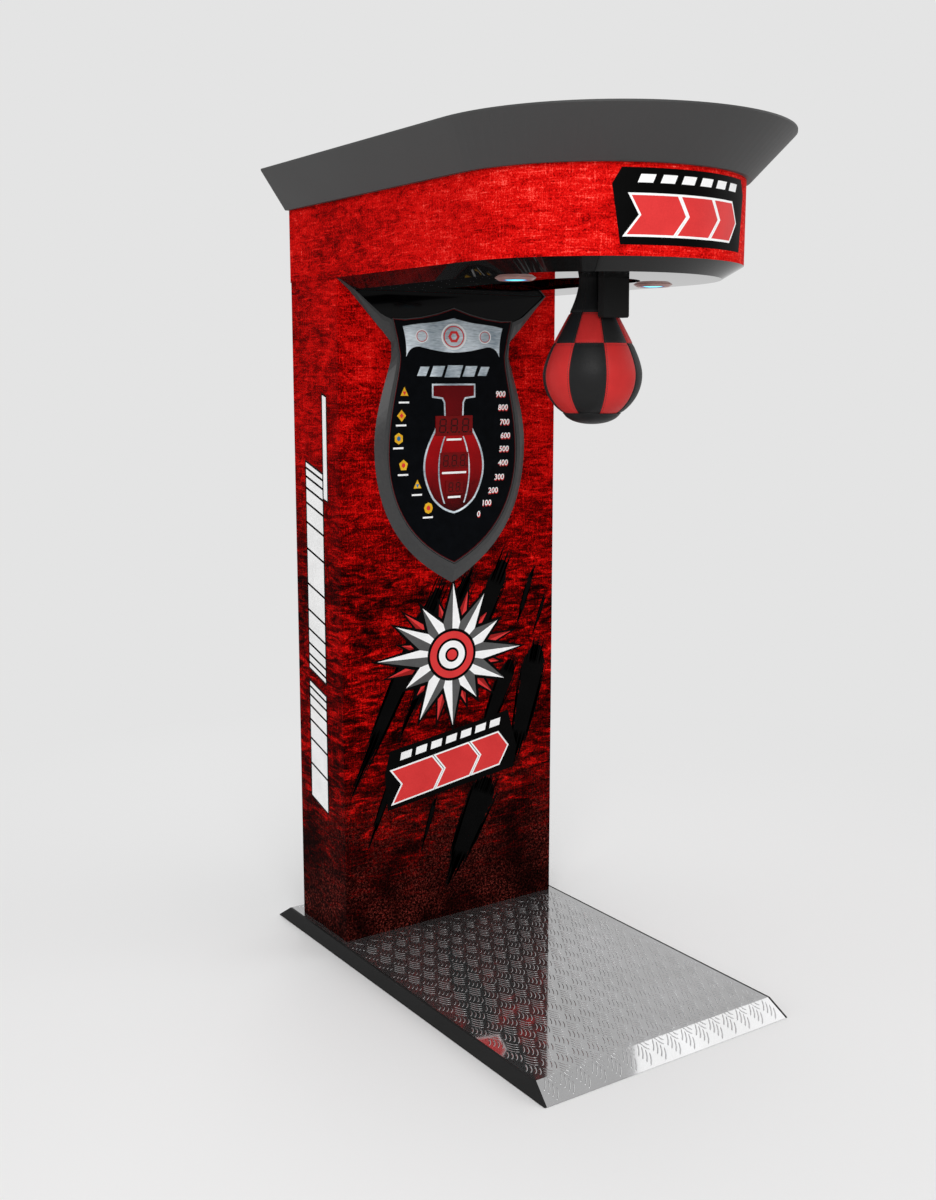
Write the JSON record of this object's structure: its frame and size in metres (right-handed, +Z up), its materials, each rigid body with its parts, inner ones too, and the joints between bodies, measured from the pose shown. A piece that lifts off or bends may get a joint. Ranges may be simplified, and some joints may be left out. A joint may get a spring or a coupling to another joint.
{
  "type": "boxing arcade machine",
  "caption": "Free-standing punch-strength game: a hinged ball under a cantilevered head, a score shield on the column and a tread-plate base to stand on.",
  "frame": {"origin": "on the floor, under the middle of the machine's plan", "axes": "+Z up, -Y towards the player's side, where the head and the base reach forward, +X to the right seen from the front"},
  "size_m": [0.92, 1.509, 2.25],
  "materials": {
    "frame_steel": "satin black powder coat",
    "tread_aluminium": "bright rolled tread plate",
    "skirt_black": "satin black",
    "black_rubber": "matte",
    "zinc_steel": "zinc plated",
    "red_wrap": "printed vinyl on board",
    "rear_board": "textured laminate",
    "lock_brass": "machined",
    "grille_black": "satin black",
    "black_plastic": "moulded",
    "board_green": "solder mask",
    "sheet_steel": "satin sheet",
    "red_plastic": "moulded",
    "crown_charcoal": "matte charcoal",
    "trim_charcoal": "gloss charcoal",
    "ceiling_gloss": "polished grey",
    "ring_bronze": "rose bronze",
    "lens_cyan": "lit lens",
    "ball_leather": "matte",
    "coil_yellow": "taped coil",
    "border_grey": "satin grey",
    "shield_black": "gloss black",
    "display_print": "printed gloss black",
    "led_red": "smoked red window"
  },
  "bodies": {
    "machine": {"base_frame": "frame_steel", "column_frame": "frame_steel", "head_frame": "frame_steel", "bearing_plates": "frame_steel", "latch_plate": "frame_steel", "stop_bracket": "frame_steel", "tread_plate": "tread_aluminium", "base_skirt_left": "skirt_black", "base_skirt_right": "skirt_black", "floor_pads": "black_rubber", "stop_pad": "black_rubber", "up_bumper": "black_rubber", "column_bolts": "zinc_steel", "door_hinge_fixed": "zinc_steel", "flange_bearings": "zinc_steel", "plunger_spring": "zinc_steel", "coin_screws": "zinc_steel", "light_modules": "zinc_steel", "front_panel": "red_wrap", "left_panel": "red_wrap", "right_panel": "red_wrap", "head_band": "red_wrap", "rear_panel": "rear_board", "rear_grilles": "grille_black", "speaker": "black_plastic", "power_inlet": "black_plastic", "coin_cup": "black_plastic", "coin_acceptor": "black_plastic", "speed_sensor": "black_plastic", "control_board": "board_green", "power_supply": "sheet_steel", "coin_plate": "sheet_steel", "coin_chute": "sheet_steel", "cash_box": "sheet_steel", "crown": "crown_charcoal", "crown_lid": "crown_charcoal", "chamfer_trim": "trim_charcoal", "ceiling_plate": "ceiling_gloss", "light_rings": "ring_bronze", "light_lenses": "lens_cyan", "solenoid_body": "coil_yellow", "shield_border": "border_grey", "shield_backing": "shield_black", "display_plate": "display_print", "led_displays": "led_red"},
    "door": {"service_door": "rear_board", "door_hinge_moving": "zinc_steel", "lock_housing": "zinc_steel"},
    "lock": {"lock_cam": "lock_brass"},
    "rocker": {"power_rocker": "red_plastic"},
    "flap": {"coin_flap": "sheet_steel"},
    "button": {"coin_button": "red_plastic"},
    "swing": {"swing_axle": "zinc_steel", "swing_arm": "frame_steel", "ball": "ball_leather", "neck_clamp": "zinc_steel", "latch_lever": "zinc_steel", "speed_disc": "black_plastic"},
    "hook": {"latch_hook": "zinc_steel"},
    "plunger": {"solenoid_plunger": "zinc_steel"}
  },
  "joints": [
    {"name": "ball_swing", "type": "hinge", "parent": "machine", "child": "swing", "pos_m": [0, -0.2695, 2.04], "axis": [1, 0, 0], "range_deg": [0, 90]},
    {"name": "door_swing", "type": "hinge", "parent": "machine", "child": "door", "pos_m": [0.23, 0.647, 0.705], "axis": [0, 0, -1], "range_deg": [0, 110]},
    {"name": "lock_turn", "type": "hinge", "parent": "door", "child": "lock", "pos_m": [-0.2, 0.6305, 0.705], "axis": [0, 1, 0], "range_deg": [0, 90]},
    {"name": "rocker_tip", "type": "hinge", "parent": "machine", "child": "rocker", "pos_m": [0.265, 0.6385, 0.105], "axis": [1, 0, 0], "range_deg": [0, 20]},
    {"name": "flap_swing", "type": "hinge", "parent": "machine", "child": "flap", "pos_m": [0.3685, 0.503, 1.0225], "axis": [0, 1, 0], "range_deg": [0, 60]},
    {"name": "button_press", "type": "slide", "parent": "machine", "child": "button", "axis": [-1, 0, 0], "range_m": [0, 0.005], "stiffness_N_per_m": 300, "springref_m": -0.003},
    {"name": "hook_swing", "type": "hinge", "parent": "machine", "child": "hook", "pos_m": [0, -0.1495, 2.105], "axis": [-1, 0, 0], "range_deg": [0, 14]},
    {"name": "plunger_slide", "type": "slide", "parent": "machine", "child": "plunger", "axis": [0, -1, 0], "range_m": [0, 0.0073]}
  ],
  "couplings": [
    {"joint": "plunger_slide", "follows": "hook_swing", "m_per_rad": 0.0297}
  ]
}
